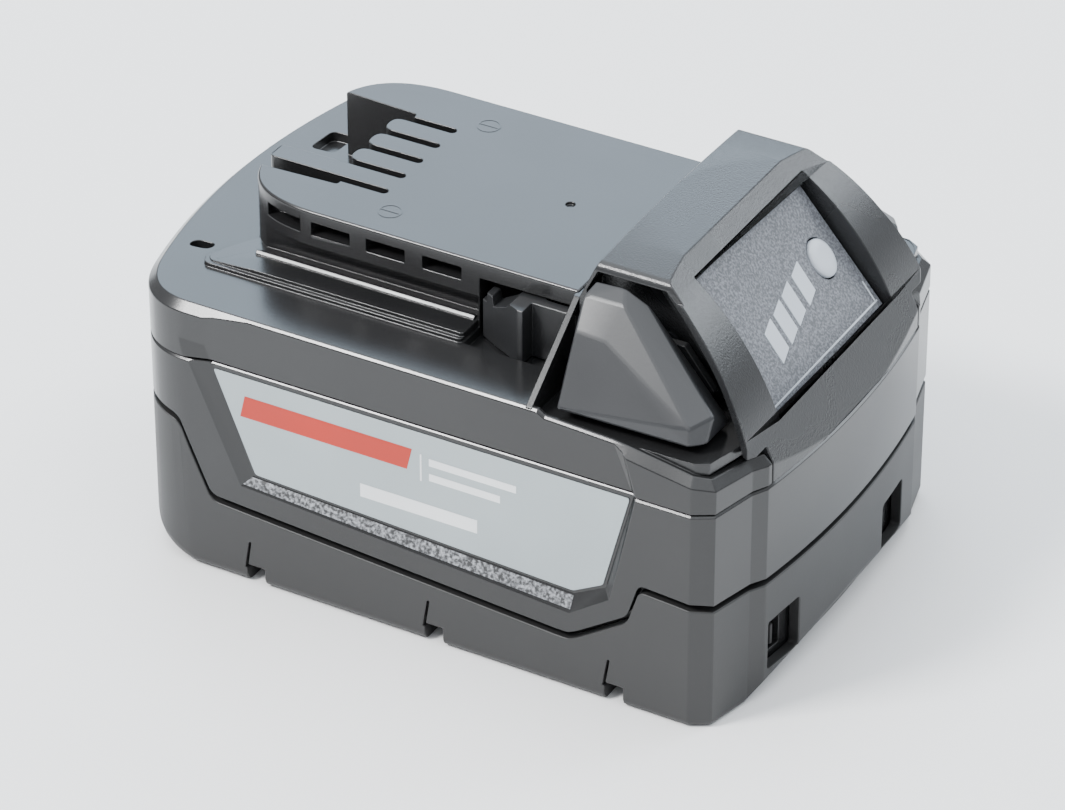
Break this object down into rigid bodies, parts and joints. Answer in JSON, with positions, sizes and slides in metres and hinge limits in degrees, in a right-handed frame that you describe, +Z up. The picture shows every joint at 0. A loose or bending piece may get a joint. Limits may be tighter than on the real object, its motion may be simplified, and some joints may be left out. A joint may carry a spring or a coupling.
{
  "type": "slide-on battery pack",
  "caption": "Slide-on lithium-ion battery pack with railed contact tower, squeeze latches, charge gauge, soft lower boot and side labels, with its cells and electronics inside.",
  "frame": {"origin": "middle of the footprint on the base plane", "axes": "+X towards the gauge end, +Y to the left side, +Z up"},
  "size_m": [0.12, 0.082, 0.0736],
  "materials": {
    "boot": "fine matt texture",
    "case": "smooth satin moulding",
    "head": "fine spark texture",
    "latch_pad": "soft-touch matt",
    "latch_hook": "satin moulding",
    "gauge_plate": "fine speckle",
    "light_bar": "frosted",
    "label": "brushed film",
    "cell": "shrink sleeve",
    "holder": "moulded",
    "board": "solder mask",
    "copper": "bright",
    "nickel": "rolled strip",
    "steel": "zinc plated",
    "foam": "closed-cell foam",
    "lead_red": "silicone sleeve",
    "lead_black": "silicone sleeve"
  },
  "bodies": {
    "pack": {"base_boot": "boot", "lower_case": "case", "top_case": "case", "head_cover": "head", "gauge_plate": "gauge_plate", "gauge_board": "board", "gauge_switch": "holder", "board_pad": "foam", "control_board": "board", "terminal_block": "holder", "power_lead_positive": "lead_red", "power_lead_negative": "lead_black", "latch_spring_left": "steel", "side_label_left": "label", "cell_holder_left": "holder", "latch_spring_right": "steel", "side_label_right": "label", "cell_holder_right": "holder", "gauge_bar_1": "light_bar", "case_screw_1": "steel", "gauge_bar_2": "light_bar", "case_screw_2": "steel", "gauge_bar_3": "light_bar", "case_screw_3": "steel", "gauge_bar_4": "light_bar", "case_screw_4": "steel", "cell_01": "cell", "cell_02": "cell", "cell_03": "cell", "cell_04": "cell", "cell_05": "cell", "cell_06": "cell", "cell_07": "cell", "cell_08": "cell", "cell_09": "cell", "cell_10": "cell", "bus_strip_1": "nickel", "bus_strip_2": "nickel", "bus_strip_3": "nickel", "bus_strip_4": "nickel", "bus_strip_5": "nickel", "bus_strip_6": "nickel", "terminal_1": "copper", "terminal_2": "copper", "terminal_3": "copper", "terminal_4": "copper", "terminal_5": "copper"},
    "latch_left": {"latch_button_left": "latch_pad", "latch_hook_left": "latch_hook"},
    "latch_right": {"latch_button_right": "latch_pad", "latch_hook_right": "latch_hook"},
    "gauge_button": {"gauge_button": "light_bar"}
  },
  "joints": [
    {"name": "latch_left_press", "type": "slide", "parent": "pack", "child": "latch_left", "axis": [0, -1, 0], "range_m": [0, 0.0025], "stiffness_N_per_m": 1800, "deforming": ["latch_spring_left"]},
    {"name": "latch_right_press", "type": "slide", "parent": "pack", "child": "latch_right", "axis": [0, 1, 0], "range_m": [0, 0.0025], "stiffness_N_per_m": 1800, "deforming": ["latch_spring_right"]},
    {"name": "gauge_button_press", "type": "slide", "parent": "pack", "child": "gauge_button", "axis": [-0.7843, 0, -0.6203], "range_m": [0, 0.0007], "stiffness_N_per_m": 1500}
  ]
}
